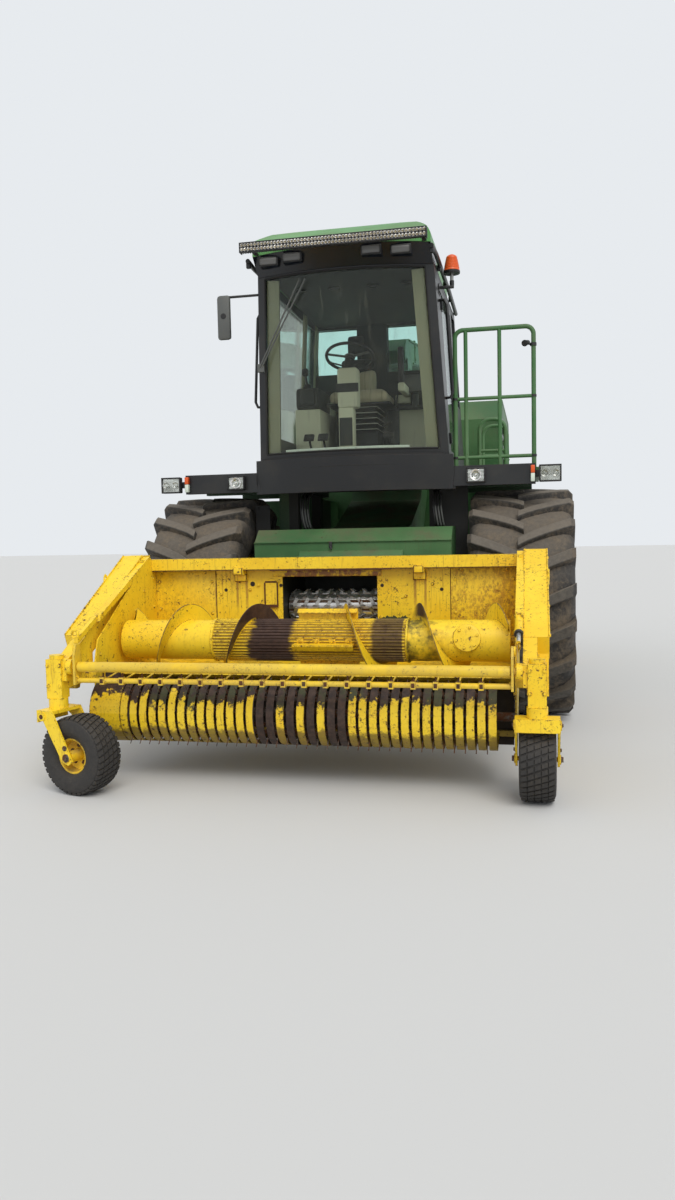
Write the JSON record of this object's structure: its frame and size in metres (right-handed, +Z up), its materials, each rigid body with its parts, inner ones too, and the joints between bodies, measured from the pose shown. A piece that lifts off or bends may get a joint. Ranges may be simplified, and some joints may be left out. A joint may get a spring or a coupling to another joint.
{
  "type": "self-propelled forage harvester",
  "caption": "Self-propelled forage harvester with a cab, large front tyres, a turning spout and a pickup header with auger, tined reel and two caster wheels.",
  "frame": {"origin": "on the ground, under the middle of the box round the whole machine", "axes": "+X towards the ladder side, +Y towards the rear, +Z up"},
  "size_m": [3.3, 7.7392, 3.81],
  "materials": {
    "dark_green": "semi_gloss",
    "light_green": "semi_gloss",
    "black_paint": "satin",
    "axle_grey": "matte",
    "header_yellow": "semi_gloss",
    "rim_yellow": "semi_gloss",
    "tyre_rubber": "matte",
    "window_glass": "clear",
    "beige_trim": "matte",
    "seat_cloth": "woven",
    "lamp_lens": "gloss",
    "lamp_bar": "satin",
    "amber_lens": "gloss",
    "bare_steel": "worn"
  },
  "bodies": {
    "chassis": {"frame": "dark_green", "front_axle": "axle_grey", "rear_axle": "axle_grey", "chopper_housing": "dark_green", "cab_shell": "black_paint", "cab_roof": "light_green", "visor": "black_paint", "cab_glass": "window_glass", "cab_console": "beige_trim", "seat": "seat_cloth", "front_beam": "black_paint", "lamps": "lamp_lens", "deck": "dark_green", "railing": "light_green", "light_bar": "lamp_bar", "beacon": "amber_lens", "mirrors": "black_paint", "wipers": "black_paint", "rear_body": "dark_green", "engine": "axle_grey", "exhaust": "bare_steel", "fuel_tank": "dark_green", "lift_cylinders": "axle_grey"},
    "radiator_door": {"radiator_door": "black_paint"},
    "front_wheel_left": {"front_tyre_left": "tyre_rubber", "front_rim_left": "rim_yellow"},
    "front_wheel_right": {"front_tyre_right": "tyre_rubber", "front_rim_right": "rim_yellow"},
    "knuckle_left": {"knuckle_left": "axle_grey"},
    "knuckle_right": {"knuckle_right": "axle_grey"},
    "rear_wheel_left": {"rear_tyre_left": "tyre_rubber", "rear_rim_left": "rim_yellow"},
    "rear_wheel_right": {"rear_tyre_right": "tyre_rubber", "rear_rim_right": "rim_yellow"},
    "cab_door": {"door": "black_paint", "door_glass": "window_glass"},
    "spout_turret": {"spout_base": "dark_green"},
    "spout": {"spout_boom": "light_green"},
    "spout_flap": {"spout_cap": "light_green"},
    "header": {"feed_housing": "dark_green", "header_frame": "header_yellow", "stripper_bands": "header_yellow"},
    "auger": {"auger": "header_yellow"},
    "tine_reel": {"tine_reel": "bare_steel"},
    "crop_guard": {"crop_guard": "header_yellow"},
    "feed_roll_upper": {"feed_roll_upper": "bare_steel"},
    "feed_roll_lower": {"feed_roll_lower": "bare_steel"},
    "caster_left": {"caster_fork_left": "header_yellow"},
    "caster_right": {"caster_fork_right": "header_yellow"},
    "caster_wheel_left": {"caster_wheel_left": "tyre_rubber"},
    "caster_wheel_right": {"caster_wheel_right": "tyre_rubber"}
  },
  "joints": [
    {"name": "header_lift", "type": "hinge", "parent": "chassis", "child": "header", "pos_m": [0, -1.50038, 1.06], "axis": [-1, 0, 0], "range_deg": [0, 20]},
    {"name": "spout_turn", "type": "hinge", "parent": "chassis", "child": "spout_turret", "pos_m": [0, 0.31962, 2.76], "axis": [0, 0, 1], "range_deg": [-90, 90]},
    {"name": "spout_lift", "type": "hinge", "parent": "spout_turret", "child": "spout", "pos_m": [0, 0.13962, 3.045], "axis": [1, 0, 0], "range_deg": [0, 25]},
    {"name": "spout_flap", "type": "hinge", "parent": "spout", "child": "spout_flap", "pos_m": [0, 3.69962, 3.45], "axis": [1, 0, 0], "range_deg": [-30, 20]},
    {"name": "crop_guard_lift", "type": "hinge", "parent": "header", "child": "crop_guard", "pos_m": [0, -3.68038, 0.728], "axis": [1, 0, 0], "range_deg": [0, 55]},
    {"name": "door_swing", "type": "hinge", "parent": "chassis", "child": "cab_door", "pos_m": [0.74401, -1.42038, 2.07], "axis": [0.0563, 0, -0.9984], "range_deg": [0, 70]},
    {"name": "radiator_door_swing", "type": "hinge", "parent": "chassis", "child": "radiator_door", "pos_m": [1.059, 0.96562, 2], "axis": [0, 0, -1], "range_deg": [0, 95]},
    {"name": "steer_left", "type": "hinge", "parent": "chassis", "child": "knuckle_left", "pos_m": [0.84, 1.76962, 0.665], "axis": [0, 0, 1], "range_deg": [-40, 40]},
    {"name": "steer_right", "type": "hinge", "parent": "chassis", "child": "knuckle_right", "pos_m": [-0.84, 1.76962, 0.665], "axis": [0, 0, 1], "range_deg": [-40, 40]},
    {"name": "front_wheel_left_spin", "type": "hinge", "parent": "chassis", "child": "front_wheel_left", "pos_m": [1.2625, -1.08038, 0.89], "axis": [1, 0, 0], "continuous": true},
    {"name": "front_wheel_right_spin", "type": "hinge", "parent": "chassis", "child": "front_wheel_right", "pos_m": [-1.2625, -1.08038, 0.89], "axis": [1, 0, 0], "continuous": true},
    {"name": "rear_wheel_left_spin", "type": "hinge", "parent": "knuckle_left", "child": "rear_wheel_left", "pos_m": [1.15, 1.76962, 0.665], "axis": [1, 0, 0], "continuous": true},
    {"name": "rear_wheel_right_spin", "type": "hinge", "parent": "knuckle_right", "child": "rear_wheel_right", "pos_m": [-1.15, 1.76962, 0.665], "axis": [1, 0, 0], "continuous": true},
    {"name": "auger_spin", "type": "hinge", "parent": "header", "child": "auger", "pos_m": [0, -3.02038, 0.81], "axis": [1, 0, 0], "continuous": true},
    {"name": "tine_reel_spin", "type": "hinge", "parent": "header", "child": "tine_reel", "pos_m": [0, -3.35038, 0.42], "axis": [1, 0, 0], "continuous": true},
    {"name": "feed_roll_upper_spin", "type": "hinge", "parent": "header", "child": "feed_roll_upper", "pos_m": [0, -2.26038, 0.96], "axis": [1, 0, 0], "continuous": true},
    {"name": "feed_roll_lower_spin", "type": "hinge", "parent": "header", "child": "feed_roll_lower", "pos_m": [0, -2.26038, 0.702], "axis": [1, 0, 0], "continuous": true},
    {"name": "caster_left_swivel", "type": "hinge", "parent": "header", "child": "caster_left", "pos_m": [1.368, -3.68038, 0.6], "axis": [0, 0, 1], "range_deg": [-254, 0]},
    {"name": "caster_right_swivel", "type": "hinge", "parent": "header", "child": "caster_right", "pos_m": [-1.368, -3.68038, 0.6], "axis": [0, 0, 1], "range_deg": [-254, 0]},
    {"name": "caster_wheel_left_spin", "type": "hinge", "parent": "caster_left", "child": "caster_wheel_left", "pos_m": [1.368, -3.52038, 0.2285], "axis": [1, 0, 0], "continuous": true},
    {"name": "caster_wheel_right_spin", "type": "hinge", "parent": "caster_right", "child": "caster_wheel_right", "pos_m": [-1.2142, -3.72449, 0.2285], "axis": [-0.2756, -0.9613, 0], "continuous": true}
  ],
  "couplings": [
    {"joint": "steer_right", "follows": "steer_left", "ratio": 1}
  ]
}
